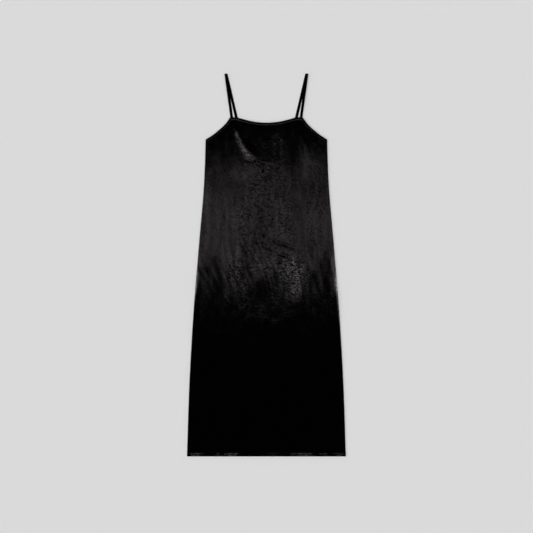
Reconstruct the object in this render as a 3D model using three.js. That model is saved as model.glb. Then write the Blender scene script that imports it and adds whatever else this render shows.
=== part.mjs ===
import * as THREE from 'three';

// A satin slip dress laid flat on its back: the front panel over the back panel, narrow bindings
// round the neck and armholes, and two straps folded flat. X is the width, Y runs from the hem to
// the straps and Z rises from the surface. The origin is at the middle of the outline, on the surface.
// Heights are measured up from the hem.

// Driving sizes in millimetres
const LENGTH = 1300.8; // hem to the fold at the top of the straps
const CLOTH = 1.2; // wall of one layer of satin
const SEAM_GAP = 0.3; // between neighbouring pieces
const FRONT_LEVEL = CLOTH + SEAM_GAP; // underside of the front panel
const BINDING_WIDTH = 6;
const FRONT_BINDING_DEPTH = 1.5;
const HEM_DEPTH = 11; // height of the turned hem
const HEM_RISE = 0.5; // extra thickness where the hem is turned
const HEM_STEP = 3; // height over which that thickness fades out
const STRAP_WIDTH = 9.2;
const STRAP_CLOTH = 1.2;

// Half width of the body at heights from the hem to the underarm
const SIDE = [
  { height: 0, half: 269.9 },
  { height: 237, half: 262.1 },
  { height: 482, half: 248.2 },
  { height: 727, half: 228.5 },
  { height: 890, half: 214.3 },
  { height: 985, half: 209.2 },
  { height: 1065, half: 206.9 },
];
const UNDERARM = { height: 1076, half: SIDE.at(-1).half };

// Top edges: the neckline dips from flat ends by the corners, and the armhole falls to the underarm
const FRONT_TOP = {
  neck: { low: 1133.6, high: 1152, flatFrom: 100, curve: 1.85, cornerX: 123.4, steps: 12 },
  armholeSteps: 7,
  armhole: [
    { x: 123.4, height: 1152 },
    { x: 135, height: 1134.8 },
    { x: 147.4, height: 1121.2 },
    { x: 162.7, height: 1107.6 },
    { x: 179.2, height: 1094 },
    { x: UNDERARM.half, height: UNDERARM.height },
  ],
};
const BACK_TOP = {
  neck: { low: 1116, high: 1131, flatFrom: 86, curve: 1.85, cornerX: 103, steps: 7 },
  armholeSteps: 6,
  armhole: [
    { x: 103, height: 1131 },
    { x: 116, height: 1113 },
    { x: 136, height: 1098 },
    { x: 162, height: 1086 },
    { x: UNDERARM.half, height: UNDERARM.height },
  ],
};

// Rows of a panel up to the yoke, in bands from the hem, and the rows that fan out above it
const FRONT_ROWS = {
  bands: [
    { top: 8, rows: 2 },
    { top: 14, rows: 2 },
    { top: 60, rows: 2 },
    { top: 480, rows: 10 },
    { top: 880, rows: 12 },
    { top: 1040, rows: 11 },
  ],
  yokeRows: 9,
};
const BACK_ROWS = {
  bands: [
    { top: 1040, rows: 13 },
  ],
  yokeRows: 3,
};

// Largest folds of the front: soft ridges along bent lines of [x, height] points
const FOLDS = [
  { name: 'crescent', start: [-108, 1106], bend: [-84, 990], end: [34, 992], width: 15, rise: 2.6 },
  { name: 'left corner', start: [-128, 1118], bend: [-132, 1060], end: [-116, 1008], width: 13, rise: 0.9 },
  { name: 'left underarm', start: [-190, 1062], bend: [-186, 1020], end: [-194, 960], width: 16, rise: 0.9 },
  { name: 'right neck', start: [118, 1100], bend: [138, 1050], end: [149, 996], width: 12, rise: 1.2 },
  { name: 'right side', start: [188, 1060], bend: [193, 900], end: [205, 735], width: 12, rise: 0.9 },
  { name: 'left wave', start: [-108, 930], bend: [-118, 740], end: [-104, 520], width: 44, rise: 0.8 },
  { name: 'middle wave', start: [-6, 960], bend: [6, 800], end: [2, 590], width: 40, rise: 0.7 },
  { name: 'right wave', start: [96, 940], bend: [110, 720], end: [98, 500], width: 42, rise: 0.8 },
  { name: 'upper crease', start: [14, 736], bend: [52, 722], end: [100, 702], width: 12, rise: 0.9 },
  { name: 'lower crease', start: [46, 690], bend: [66, 680], end: [96, 668], width: 11, rise: 0.8 },
];

// Stretches along the turned hem that roll up a little
const HEM_ROLLS = [
  { name: 'hem roll, far left', from: -262, to: -206, rise: 0.8 },
  { name: 'hem roll, left', from: -168, to: -88, rise: 0.7 },
  { name: 'hem roll, middle', from: -4, to: 50, rise: 0.5 },
  { name: 'hem roll, right', from: 76, to: 160, rise: 0.9 },
  { name: 'hem roll, far right', from: 172, to: 262, rise: 0.8 },
];
const HEM_ROLL_HEIGHT = 4;
const HEM_ROLL_WIDTH = 9;
const RIDGE_STEPS = 16; // straight pieces in the line of each fold or roll

// A strap is one flat tube, folded at the top: the front strand lies on the back strand there
const STRAP_TOP = LENGTH - STRAP_CLOTH - SEAM_GAP / 2; // centre height of the fold
const STRANDS = {
  front: { top: 137.9, slope: 0.135, root: 1139, steps: 14 },
  back: { top: 136.6, slope: 0.2336, root: BACK_TOP.neck.high + SEAM_GAP, steps: 13 },
};
const STRAP_FOLD_STEPS = 6;
const RAMP = { from: 1168, to: 1210 }; // heights between which the front strand climbs over the back one

// Cross sections, as parts of a width across and a depth up, listed anticlockwise
const BINDING_SECTION = [
  { across: 0.0, up: 0.25 },
  { across: 0.1, up: 0.0 },
  { across: 0.9, up: 0.0 },
  { across: 1.0, up: 0.25 },
  { across: 1.0, up: 0.75 },
  { across: 0.8, up: 0.95 },
  { across: 0.5, up: 1.0 },
  { across: 0.2, up: 0.95 },
  { across: 0.0, up: 0.75 },
];
const STRAP_SECTION = [
  { across: 0.0, up: 0.3 },
  { across: 0.08, up: 0.0 },
  { across: 0.92, up: 0.0 },
  { across: 1.0, up: 0.3 },
  { across: 1.0, up: 0.7 },
  { across: 0.92, up: 1.0 },
  { across: 0.08, up: 1.0 },
  { across: 0.0, up: 0.7 },
];

// Slope of a table's smooth curve at one row, from its neighbours
function rowSlope(rows, i, key, value) {
  const before = rows[Math.max(i - 1, 0)];
  const after = rows[Math.min(i + 1, rows.length - 1)];
  return (after[value] - before[value]) / (after[key] - before[key]);
}

// Smooth curve through a table's rows, held level beyond its ends
function smooth(rows, key, value, at) {
  if (at <= rows[0][key]) return rows[0][value];
  if (at >= rows.at(-1)[key]) return rows.at(-1)[value];
  const i = rows.findIndex((row) => row[key] > at) - 1;
  const span = rows[i + 1][key] - rows[i][key];
  const t = (at - rows[i][key]) / span;
  const startSlope = rowSlope(rows, i, key, value) * span;
  const endSlope = rowSlope(rows, i + 1, key, value) * span;
  const rise = rows[i + 1][value] - rows[i][value];
  const square = 3 * rise - 2 * startSlope - endSlope;
  const cube = startSlope + endSlope - 2 * rise;
  return rows[i][value] + t * (startSlope + t * (square + t * cube));
}

function halfWidth(height) {
  return smooth(SIDE, 'height', 'half', height);
}

function neckHeight(neck, x) {
  const away = Math.min(x / neck.flatFrom, 1);
  return neck.low + (neck.high - neck.low) * away ** neck.curve;
}

// Top edge of a panel from its left underarm to its right one, with the two corners' places in it
function topEdge({ neck, armhole, armholeSteps }) {
  const half = [];
  for (let i = 0; i <= neck.steps; i++) {
    const x = (neck.cornerX * i) / neck.steps;
    half.push(new THREE.Vector2(x, neckHeight(neck, x)));
  }
  for (let i = 1; i <= armholeSteps; i++) {
    const x = THREE.MathUtils.lerp(neck.cornerX, UNDERARM.half, i / armholeSteps);
    half.push(new THREE.Vector2(x, smooth(armhole, 'x', 'height', x)));
  }
  const left = half.slice(1).reverse().map((point) => new THREE.Vector2(-point.x, point.y));
  const leftCorner = armholeSteps;
  return { points: [...left, ...half], leftCorner, rightCorner: leftCorner + 2 * neck.steps };
}

// Direction into the cloth from the edge between two points, with the edge run from left to right
function inward(from, to) {
  return new THREE.Vector2(to.y - from.y, from.x - to.x).normalize();
}

// The edge moved into the cloth by a distance, mitred at each point; its ends slide down the sides
function inset(points, distance) {
  return points.map((point, i) => {
    if (i === 0 || i === points.length - 1) {
      const normal = i === 0 ? inward(point, points[1]) : inward(points[i - 1], point);
      return new THREE.Vector2(point.x, point.y + distance / normal.y);
    }
    const before = inward(points[i - 1], point);
    const after = inward(point, points[i + 1]);
    const mitre = before.clone().add(after).multiplyScalar(distance / (1 + before.dot(after)));
    return point.clone().add(mitre);
  });
}

// A soft ridge's polyline, shared by the folds and the hem's rolls
function ridge({ start, bend, end, width, rise }) {
  const [from, over, to] = [start, bend, end].map(([x, height]) => new THREE.Vector2(x, height));
  return { line: new THREE.QuadraticBezierCurve(from, over, to).getPoints(RIDGE_STEPS), width, rise };
}

function hemRidge({ from, to, rise }) {
  const middle = (from + to) / 2;
  const start = [from, HEM_ROLL_HEIGHT];
  const end = [to, HEM_ROLL_HEIGHT];
  return ridge({ start, bend: [middle, HEM_ROLL_HEIGHT], end, width: HEM_ROLL_WIDTH, rise });
}

const RIDGES = [...FOLDS.map(ridge), ...HEM_ROLLS.map(hemRidge)];

// Place of a point beside a polyline: how far along it, from 0 to 1, and how far off
function beside(line, point) {
  const best = { along: 0, off: Infinity };
  for (let i = 0; i + 1 < line.length; i++) {
    const segment = line[i + 1].clone().sub(line[i]);
    const reach = point.clone().sub(line[i]).dot(segment) / segment.lengthSq();
    const t = THREE.MathUtils.clamp(reach, 0, 1);
    const off = point.distanceTo(line[i].clone().addScaledVector(segment, t));
    if (off < best.off) Object.assign(best, { along: (i + t) / (line.length - 1), off });
  }
  return best;
}

// Height that the folds lift the front at a point: a bell across each ridge, faded at its ends
function lift(x, height) {
  const point = new THREE.Vector2(x, height);
  return RIDGES.reduce((sum, { line, width, rise }) => {
    const { along, off } = beside(line, point);
    if (off >= width) return sum;
    const bell = (1 + Math.cos((Math.PI * off) / width)) / 2;
    return sum + rise * bell * Math.sqrt(Math.sin(Math.PI * along));
  }, 0);
}

function hemThickening(height) {
  return HEM_RISE * (1 - THREE.MathUtils.smoothstep(height, HEM_DEPTH, HEM_DEPTH + HEM_STEP));
}

// Heights of a panel's rows in one column that reaches up to columnTop
function rowHeights({ bands, yokeRows }, columnTop) {
  const heights = [0];
  for (const { top, rows } of bands) {
    const start = heights.at(-1);
    for (let i = 1; i <= rows; i++) heights.push(THREE.MathUtils.lerp(start, top, i / rows));
  }
  const yoke = heights.at(-1);
  for (let i = 1; i <= yokeRows; i++) heights.push(THREE.MathUtils.lerp(yoke, columnTop, i / yokeRows));
  return heights;
}

// Plan of a panel as rows of points: each column spreads with the side from its place at the top edge
function panelPlan(top, rows) {
  const edge = inset(topEdge(top).points, BINDING_WIDTH + SEAM_GAP);
  const columns = edge.map((point) => {
    const part = point.x / UNDERARM.half;
    return rowHeights(rows, point.y).map((height) => new THREE.Vector2(part * halfWidth(height), height));
  });
  return columns[0].map((_, row) => columns.map((column) => column[row]));
}

function geometryOf(vertices, triangles) {
  const geometry = new THREE.BufferGeometry();
  const places = vertices.flatMap((vertex) => vertex.toArray());
  geometry.setAttribute('position', new THREE.Float32BufferAttribute(places, 3));
  geometry.setIndex(triangles);
  geometry.computeVertexNormals();
  return geometry;
}

// Places in a grid of the points round its rim, anticlockwise from its first corner
function rim(rowCount, columnCount) {
  const at = (row, column) => row * columnCount + column;
  const places = [];
  for (let column = 0; column < columnCount - 1; column++) places.push(at(0, column));
  for (let row = 0; row < rowCount - 1; row++) places.push(at(row, columnCount - 1));
  for (let column = columnCount - 1; column > 0; column--) places.push(at(rowCount - 1, column));
  for (let row = rowCount - 1; row > 0; row--) places.push(at(row, 0));
  return places;
}

// Closed wall between an underside and a top, which are functions of the plan's points
function wallGeometry(plan, underside, top) {
  const points = plan.flat();
  const columnCount = plan[0].length;
  const below = points.length;
  const triangles = [];
  for (let row = 0; row < plan.length - 1; row++) {
    for (let column = 0; column < columnCount - 1; column++) {
      const a = row * columnCount + column;
      const b = a + 1;
      const c = b + columnCount;
      const d = a + columnCount;
      triangles.push(a, b, c, a, c, d);
      triangles.push(below + a, below + c, below + b, below + a, below + d, below + c);
    }
  }
  const places = rim(plan.length, columnCount);
  places.forEach((a, i) => {
    const b = places[(i + 1) % places.length];
    triangles.push(a, below + a, below + b, a, below + b, b);
  });
  const upper = points.map((p) => new THREE.Vector3(p.x, p.y, top(p.x, p.y)));
  const lower = points.map((p) => new THREE.Vector3(p.x, p.y, underside(p.x, p.y)));
  return geometryOf([...upper, ...lower], triangles);
}

// Closed tube through a row of cross sections with equal counts of points
function loftGeometry(sections) {
  const count = sections[0].length;
  const triangles = [];
  for (let k = 0; k + 1 < sections.length; k++) {
    for (let j = 0; j < count; j++) {
      const a = k * count + j;
      const b = k * count + ((j + 1) % count);
      triangles.push(a, a + count, b + count, a, b + count, b);
    }
  }
  const last = (sections.length - 1) * count;
  for (let j = 1; j + 1 < count; j++) {
    triangles.push(0, j, j + 1);
    triangles.push(last, last + j + 1, last + j);
  }
  return geometryOf(sections.flat(), triangles);
}

// The same sections on the other side, with each one's points in the opposite order
function mirrored(sections) {
  return sections.map((section) => section.map((p) => new THREE.Vector3(-p.x, p.y, p.z)).reverse());
}

// Sections of a binding between two places along a top edge, its ends drawn back for the seams
function bindingSections(top, first, last, level, depth) {
  const { points } = topEdge(top);
  const outer = points.slice(first, last + 1);
  const inner = inset(points, BINDING_WIDTH).slice(first, last + 1);
  for (const line of [outer, inner]) {
    const end = line.length - 1;
    const step = line[0].distanceTo(line[1]);
    const endStep = line[end].distanceTo(line[end - 1]);
    line[0] = line[0].clone().lerp(line[1], SEAM_GAP / step);
    line[end] = line[end].clone().lerp(line[end - 1], SEAM_GAP / endStep);
  }
  return outer.map((edge, i) => BINDING_SECTION.map(({ across, up }) => {
    const place = edge.clone().lerp(inner[i], across);
    return new THREE.Vector3(place.x, place.y, level + depth * up);
  }));
}

function neckBinding(top, level, depth) {
  const { leftCorner, rightCorner } = topEdge(top);
  return loftGeometry(bindingSections(top, leftCorner, rightCorner, level, depth));
}

function armholeSections(top, level, depth) {
  const { points, rightCorner } = topEdge(top);
  return bindingSections(top, rightCorner, points.length - 1, level, depth);
}

// Stations of a strand from its root up to the fold: places, and the way across the strap, whose
// ends are cut square to the width
function strandStations({ top, slope, root, steps }, levelAt) {
  const across = new THREE.Vector3(1, -slope, 0).normalize();
  const stations = [];
  for (let i = 0; i <= steps; i++) {
    const height = THREE.MathUtils.lerp(root, STRAP_TOP, i / steps);
    const x = top - slope * (STRAP_TOP - height);
    stations.push({ place: new THREE.Vector3(x, height, levelAt(height)), across });
  }
  for (const end of [stations[0], stations.at(-1)]) end.across = new THREE.Vector3(1, 0, 0);
  return stations;
}

// Stations round the fold at the top, between the ends of the two strands
function foldStations(from, to) {
  const stations = [];
  for (let i = 1; i < STRAP_FOLD_STEPS; i++) {
    const turn = (Math.PI * i) / STRAP_FOLD_STEPS;
    const place = from.place.clone().lerp(to.place, (1 - Math.cos(turn)) / 2);
    place.y += (Math.sin(turn) * (from.place.z - to.place.z)) / 2;
    stations.push({ place, across: new THREE.Vector3(1, 0, 0) });
  }
  return stations;
}

// Sections of the right strap: up the front strand, over the fold and down the back strand
function strapSections() {
  const low = STRAP_CLOTH / 2;
  const high = low + STRAP_CLOTH + SEAM_GAP;
  const climb = (height) => low + (high - low) * THREE.MathUtils.smoothstep(height, RAMP.from, RAMP.to);
  const front = strandStations(STRANDS.front, climb);
  const back = strandStations(STRANDS.back, () => low).reverse();
  const stations = [...front, ...foldStations(front.at(-1), back[0]), ...back];
  return stations.map(({ place, across }, i) => {
    const before = stations[Math.max(i - 1, 0)].place;
    const after = stations[Math.min(i + 1, stations.length - 1)].place;
    const along = after.clone().sub(before);
    const out = across.clone().cross(along).normalize();
    return STRAP_SECTION.map((corner) => place.clone()
      .addScaledVector(across, (corner.across - 0.5) * STRAP_WIDTH)
      .addScaledVector(out, (corner.up - 0.5) * STRAP_CLOTH));
  });
}

function frontPanel() {
  const underside = (x, height) => FRONT_LEVEL + lift(x, height);
  const top = (x, height) => underside(x, height) + CLOTH + hemThickening(height);
  return wallGeometry(panelPlan(FRONT_TOP, FRONT_ROWS), underside, top);
}

function backPanel() {
  return wallGeometry(panelPlan(BACK_TOP, BACK_ROWS), () => 0, () => CLOTH);
}

const dress = new THREE.Group();
dress.name = 'slip dress';

// Adds one piece of black satin, drawn in heights, so that the dress is centred on the origin
function addPiece(name, geometry, { color, roughness }) {
  const material = new THREE.MeshStandardMaterial({ color, roughness, metalness: 0 });
  const mesh = new THREE.Mesh(geometry, material);
  mesh.name = name;
  mesh.position.y = -LENGTH / 2;
  dress.add(mesh);
}

const SATIN = { color: '#0c0b0c', roughness: 0.32 };
const BIAS_SATIN = { color: '#100f10', roughness: 0.4 };

addPiece('back_panel', backPanel(), SATIN);
addPiece('front_panel', frontPanel(), SATIN);

const frontArmhole = armholeSections(FRONT_TOP, FRONT_LEVEL, FRONT_BINDING_DEPTH);
const backArmhole = armholeSections(BACK_TOP, 0, CLOTH);
addPiece('neck_binding_front', neckBinding(FRONT_TOP, FRONT_LEVEL, FRONT_BINDING_DEPTH), BIAS_SATIN);
addPiece('neck_binding_back', neckBinding(BACK_TOP, 0, CLOTH), BIAS_SATIN);
addPiece('armhole_binding_front_right', loftGeometry(frontArmhole), BIAS_SATIN);
addPiece('armhole_binding_front_left', loftGeometry(mirrored(frontArmhole)), BIAS_SATIN);
addPiece('armhole_binding_back_right', loftGeometry(backArmhole), BIAS_SATIN);
addPiece('armhole_binding_back_left', loftGeometry(mirrored(backArmhole)), BIAS_SATIN);

const strap = strapSections();
addPiece('strap_right', loftGeometry(strap), BIAS_SATIN);
addPiece('strap_left', loftGeometry(mirrored(strap)), BIAS_SATIN);

export default dress;
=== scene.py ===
"""Looks of a slip dress in black hammered satin, laid flat and seen from straight above.

Shapes are worked out in millimetres, with x from the middle of the dress and heights measured up
from its hem, and each mesh is then written in metres in the frame's axes.
"""

import math

import bpy
import numpy as np
from bpy.props import FloatProperty, FloatVectorProperty, PointerProperty
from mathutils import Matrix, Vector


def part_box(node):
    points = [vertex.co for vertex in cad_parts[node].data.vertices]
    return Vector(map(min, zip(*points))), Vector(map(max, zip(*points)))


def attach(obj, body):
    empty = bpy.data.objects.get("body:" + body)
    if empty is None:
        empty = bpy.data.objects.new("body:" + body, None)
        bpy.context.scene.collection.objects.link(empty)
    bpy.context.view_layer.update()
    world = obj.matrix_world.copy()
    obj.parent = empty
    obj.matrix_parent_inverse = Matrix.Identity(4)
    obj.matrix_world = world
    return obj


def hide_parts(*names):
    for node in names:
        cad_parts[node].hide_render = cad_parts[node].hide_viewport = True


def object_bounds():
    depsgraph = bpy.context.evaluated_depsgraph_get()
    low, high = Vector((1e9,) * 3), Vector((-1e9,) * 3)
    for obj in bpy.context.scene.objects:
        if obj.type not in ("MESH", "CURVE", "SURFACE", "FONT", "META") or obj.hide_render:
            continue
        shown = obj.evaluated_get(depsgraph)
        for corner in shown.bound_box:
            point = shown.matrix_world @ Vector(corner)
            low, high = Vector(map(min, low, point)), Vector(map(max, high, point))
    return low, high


bl_info = {
    "name": "Slip dress, laid flat",
    "version": (1, 0, 0),
    "blender": (4, 5, 0),
    "location": "3D View > Sidebar > Slip dress",
    "description": "Makes the satin, bindings, straps, stitching and studio of a slip dress",
    "category": "Object",
}

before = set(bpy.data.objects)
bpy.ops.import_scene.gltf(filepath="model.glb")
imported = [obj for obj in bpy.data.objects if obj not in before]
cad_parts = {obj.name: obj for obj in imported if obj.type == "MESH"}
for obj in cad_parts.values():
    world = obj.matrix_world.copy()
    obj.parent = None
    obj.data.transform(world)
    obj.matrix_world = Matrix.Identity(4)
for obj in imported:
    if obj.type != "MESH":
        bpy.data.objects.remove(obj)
CAD_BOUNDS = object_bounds()

# Sizes taken from the frame, in millimetres
MM = 0.001
LENGTH = (CAD_BOUNDS[1].y - CAD_BOUNDS[0].y) / MM
FRONT_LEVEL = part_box("front_panel")[0].z / MM  # underside of the front panel's solid
BINDING_DEPTH = (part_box("neck_binding_front")[1].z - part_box("neck_binding_front")[0].z) / MM
STRAP_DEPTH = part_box("back_panel")[1].z / MM  # one layer of the strap is as thick as the back

# Levels of the front, in millimetres
FRONT_TOP_LEVEL = FRONT_LEVEL + 1.1  # upper side where the front is flat
FRONT_LOWEST = FRONT_LEVEL - 0.55  # lowest that its underside reaches in a trough
DEEPEST_TROUGH = -0.45

# Sizes of the cut
BINDING_WIDTH = 6.0
BINDING_GAP = 0.15  # the groove between a binding and its panel
HEM_DEPTH = 10.5
HEM_STITCH = 9.6  # height of the hem's stitching
STRAP_WIDTH = 9.2
STRAP_WALL = 0.25
SEAM_GAP = 0.3
EDGE_STEPS = (60, 44)  # steps of a binding along half a neckline and along an armhole
BINDING_POINTS = 20  # points round a binding

# Half width of the body: (height, half width)
SIDE = [
    (0, 269.9), (237, 262.1), (482, 248.2), (727, 228.5), (890, 214.3), (985, 209.2), (1065, 206.9),
]
UNDERARM = (206.9, 1076.0)

# Top edges: the neckline dips from flat ends by the corners, and the armhole is (x, height)
FRONT_TOP = {
    "low": 1133.6, "high": 1152.0, "flat_from": 100.0, "curve": 1.85, "corner": 123.4,
    "armhole": [
        (123.4, 1152), (135, 1134.8), (147.4, 1121.2), (162.7, 1107.6), (179.2, 1094), UNDERARM,
    ],
}
BACK_TOP = {
    "low": 1116.0, "high": 1131.0, "flat_from": 86.0, "curve": 1.85, "corner": 103.0,
    "armhole": [(103, 1131), (116, 1113), (136, 1098), (162, 1086), UNDERARM],
}

# Largest folds: (start, bend, end, half width, rise), each place an (x, height)
FOLDS = [
    ((-98, 1108), (-89, 1084), (-76, 1056), 10, 2.2),  # crescent under the left corner, thin here
    ((-80, 1070), (-60, 1036), (-32, 1004), 25, 3.3),  # and full here
    ((-128, 1118), (-132, 1060), (-116, 1008), 13, 0.9),
    ((-190, 1062), (-186, 1020), (-194, 960), 16, 0.9),
    ((118, 1100), (138, 1050), (149, 996), 12, 1.2),  # drag from the right corner
    ((188, 1060), (193, 900), (205, 735), 12, 0.9),
    ((-108, 930), (-118, 740), (-104, 520), 44, 0.8),
    ((-6, 960), (6, 800), (2, 590), 40, 0.7),
    ((96, 940), (110, 720), (98, 500), 42, 0.8),
    ((14, 736), (52, 722), (100, 702), 12, 0.9),
    ((46, 690), (66, 680), (96, 668), 11, 0.8),
]

# Smaller creases of the front, as the folds; a negative rise is a trough
CREASES = [
    ((-90, 1018), (-38, 990), (22, 992), 6.5, -1.5),  # dark line under the crescent
    ((-70, 1018), (-30, 998), (30, 998), 6, 1.0),
    ((-48, 998), (-38, 976), (-20, 940), 6, 1.0),
    ((-30, 990), (-18, 972), (-4, 944), 6, 0.8),
    ((-84, 1000), (-80, 976), (-72, 944), 6, 0.7),
    ((108, 1078), (122, 1040), (126, 1000), 7, 0.6),
    ((150, 1088), (160, 1040), (158, 986), 8, 0.5),
    ((-186, 1046), (-182, 1030), (-184, 1008), 5, 0.5),
    ((14, 737), (56, 724), (100, 706), 5.5, 1.15),
    ((-24, 720), (8, 706), (38, 696), 5, 1.1),
    ((-38, 734), (-12, 727), (12, 721), 5, 1.0),
    ((38, 688), (66, 684), (96, 669), 6, 1.7),
    ((56, 666), (76, 662), (98, 652), 5.5, 1.6),
    ((30, 650), (56, 640), (66, 622), 5, -0.8),
    ((-78, 668), (-66, 640), (-60, 604), 7, -1.0),
    ((-210, 640), (-196, 600), (-200, 560), 8, -0.6),
    ((-70, 720), (-40, 704), (-12, 700), 6, -0.5),
    ((-40, 760), (-14, 742), (24, 736), 5, -0.5),
    ((-150, 560), (-140, 530), (-112, 508), 6, 0.6),
    ((70, 560), (84, 536), (96, 506), 5, 0.7),
]

# Rolls just inside the side seams: (side, from height, to height, rise, skew); a skew under one
# brings the highest place nearer to the hem
SIDE_ROLLS = [(1, 440, 750, 3.8, 0.58), (-1, 495, 690, 3.2, 1), (1, 300, 520, 1.2, 1)]
SIDE_ROLL_CREST = 7.5  # distance of the crest from the edge
SIDE_ROLL_WIDTH = 20.0

# Where the sheen's lower edge drops at each x: (x, drop), from the height where a flat skirt would
# stop mirroring the softbox; the skirt's surface leans to match
SHEEN_EDGE = 616.0
FALLS = [
    (-240, -24), (-212, -34), (-203, -20), (-195, -44), (-186, -66), (-178, -54), (-169, -66),
    (-161, -30), (-152, -34), (-144, 14), (-135, 20), (-127, 50), (-118, 34), (-110, 62),
    (-102, 38), (-93, 36), (-85, -2), (-76, -10), (-68, -44), (-59, -34), (-50, -50), (-42, -10),
    (-33, -4), (-25, 22), (-16, 8), (-8, 6), (0, -16), (9, 2), (17, 4), (26, -8), (34, -2),
    (43, -10), (52, 14), (60, 44), (68, 38), (77, 80), (85, 70), (94, 100), (102, 86), (111, 94),
    (119, 56), (128, 26), (136, -30), (145, -36), (154, -8), (162, -14), (171, 4), (179, -40),
    (188, -56), (196, -80), (208, -86), (218, -66), (230, -10), (260, 0),
]
# Where the sheen's upper edge climbs at each x: (x, climb)
CLIMBS = [
    (-240, 0), (-195, 0), (-178, -10), (-161, 14), (-144, -10), (-127, 0), (-110, 20), (-85, 8),
    (-60, 4), (-42, 10), (-25, 7), (-8, 3), (9, -3), (26, 3), (43, 37), (60, -7), (77, -14),
    (94, -24), (111, 16), (128, 66), (145, 56), (162, 36), (179, 20), (196, 14), (225, 0),
]
CLIMB_ZONE = (890, 1085)  # heights between which the chest leans
FALL_LEAN = 1 / 1710  # slope that moves the mirrored softbox by a millimetre
FALL_MARGIN = 0.024  # slope kept on either side of the edge, to draw it clearly
FALL_SOFT = 10.0  # half width of the edge

# Where the crinkle of the satin is strongest: (x, height, reach in x, reach in height, strength)
CRINKLE_PATCHES = [
    (0, 800, 140, 330, 0.58),
    (88, 610, 60, 100, 1.35),
    (-100, 600, 60, 100, 0.7),
    (0, 500, 130, 80, 0.45),
    (-20, 975, 50, 40, 1.0),
    (36, 1030, 26, 90, 0.9),
    (165, 800, 60, 240, 0.42),
]
CRINKLE_FLOOR = 0.25  # strength everywhere else
BACK_CRINKLE = 0.45  # strength all over the back
BACK_LEVEL = 0.75  # height of the back's upper side over the ground

# The crescent's lit flank, crinkled and glossy: (start, bend, end, half width)
LIT_FLANK = ((-103, 1112), (-96, 1040), (-36, 1004), 15)

HEM_CREST = 8.2  # height of the hem rolls' crest
HEM_DULL = 0.4  # share of the gloss that the pressed hem loses
STREAK_AT = (612, 130)  # height where the skirt is streaked most, and the streaks' reach

# Where the bindings are glossier: (x, reach, gloss), over EDGE_DULL elsewhere
EDGE_GLOSS = [(-104, 34, 1.2), (-10, 26, 0.35), (72, 16, 0.5), (152, 14, 2.6), (-160, 26, 0.2)]
EDGE_DULL = 0.05

# Where the satin is pressed glossier or duller: (x, height, reach in x, reach in height, gain)
GLOSS_PATCHES = [
    (88, 646, 58, 58, 1.6),
    (210, 624, 16, 76, -0.6),
    (209, 570, 22, 64, -0.75),
    (203, 708, 17, 52, -0.4),
    (106, 566, 26, 44, 1.9),
    (-74, 705, 24, 54, -0.5),
    (-116, 604, 36, 70, 0.55),
    (92, 790, 30, 130, -0.14),
    (58, 588, 26, 30, -0.6),
    (22, 1038, 62, 60, -0.6),
    (-20, 1032, 26, 30, -0.6),
    (-135, 1030, 70, 50, -0.45),
    (14, 1008, 70, 28, -0.5),
    (236, 618, 24, 125, 3.6),
    (-18, 548, 60, 64, -0.6),
    (2, 652, 66, 36, 0.35),
    (-4, 572, 66, 32, -0.4),
    (-185, 572, 52, 46, -0.45),
    (-32, 548, 72, 46, -0.3),
    (60, 496, 90, 44, -0.4),
    (-165, 572, 40, 44, -0.4),
    (-12, 820, 80, 200, -0.07),
    (-242, 590, 16, 110, 1.8),
    (-210, 830, 50, 190, 0.2),
    (-80, 968, 56, 60, 0.7),
    (-20, 780, 30, 150, -0.3),
    (-70, 880, 34, 130, 0.12),
    (150, 810, 100, 200, -0.17),
    (-105, 660, 40, 80, 0.35),
    (94, 880, 26, 130, -0.22),
    (-66, 935, 80, 48, 0.2),
    (-27, 900, 26, 70, 0.16),
    (-203, 1000, 26, 62, -0.5),
    (-172, 890, 22, 50, 0.35),
]

# Stretches along the hem that roll up: (from, to, rise)
HEM_ROLLS = [
    (-262, -212, 3.0), (-172, -152, 2.6), (-148, -90, 3.0), (-2, 46, 1.5), (78, 106, 2.2),
    (100, 158, 3.2), (174, 214, 2.4), (222, 264, 2.8),
]

# Sizes of the satin's patterns, in millimetres: across the warp, then along it
CLUMPS = 26  # patches of stronger and weaker crinkle
GRAIN = (6.4, 3.8, 5.0)  # dents of the hammering, with their depth
GRAIN_SLANT = -26  # degrees
DRAGS = (16, 100)  # soft pulls along the warp
FLOATS = (1.1, 9)  # floats of the weave

# The room's light by height, as (place on the ramp, share)
SKY = ((0.0, 0.5), (0.42, 0.42), (0.51, 1.0), (0.61, 1.0), (0.7, 0.0))
# Each softbox's edge towards the straps, in millimetres from the middle, and its share of the light
SOFTBOXES = ((255, 0.34), (300, 0.33), (350, 0.33))
SOFTBOX_WIDTH = 2.4  # metres
CAMERA_PLACE = (0.00034, -0.00525)  # metres
SENSOR = 36  # width of the camera's sensor in millimetres


# Colour

def linear(code):
    """Turns an sRGB hex colour into linear red, green and blue."""
    parts = [int(code[i : i + 2], 16) / 255 for i in (1, 3, 5)]
    return tuple(c / 12.92 if c <= 0.04045 else ((c + 0.055) / 1.055) ** 2.4 for c in parts)


# Settings that a user would change

def colour_setting(name, description, code):
    """A setting for a colour, given as a hex code."""
    return FloatVectorProperty(
        name=name, description=description, subtype="COLOR", size=3, min=0, max=1,
        default=linear(code),
    )


def length_setting(name, description, low, high, default):
    """A setting for a length in metres."""
    return number_setting(name, description, low, high, default, unit="LENGTH")


def number_setting(name, description, low, high, default, subtype="NONE", unit="NONE"):
    """A setting for a number."""
    return FloatProperty(
        name=name, description=description, subtype=subtype, unit=unit,
        min=low, max=high, default=default,
    )


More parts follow.
